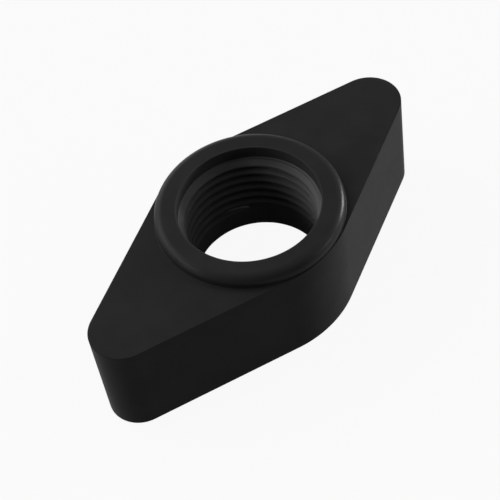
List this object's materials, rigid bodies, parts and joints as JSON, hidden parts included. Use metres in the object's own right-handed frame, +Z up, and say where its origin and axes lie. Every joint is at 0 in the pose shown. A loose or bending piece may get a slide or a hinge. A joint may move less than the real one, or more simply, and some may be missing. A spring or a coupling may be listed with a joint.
{
  "type": "adapter nut",
  "caption": "Moulded plastic adapter nut: a long rhombic hand grip with rounded ends, a round boss almost as wide as its waist and an internally threaded through bore.",
  "frame": {"origin": "on the bore's axis, at the underside", "axes": "+Z up along the bore's axis towards the boss, +X towards one end of the grip"},
  "size_m": [0.0668, 0.0298, 0.0196],
  "materials": {
    "body": "satin black moulded plastic"
  },
  "bodies": {
    "root": {"adapter_nut": "body"}
  },
  "joints": []
}
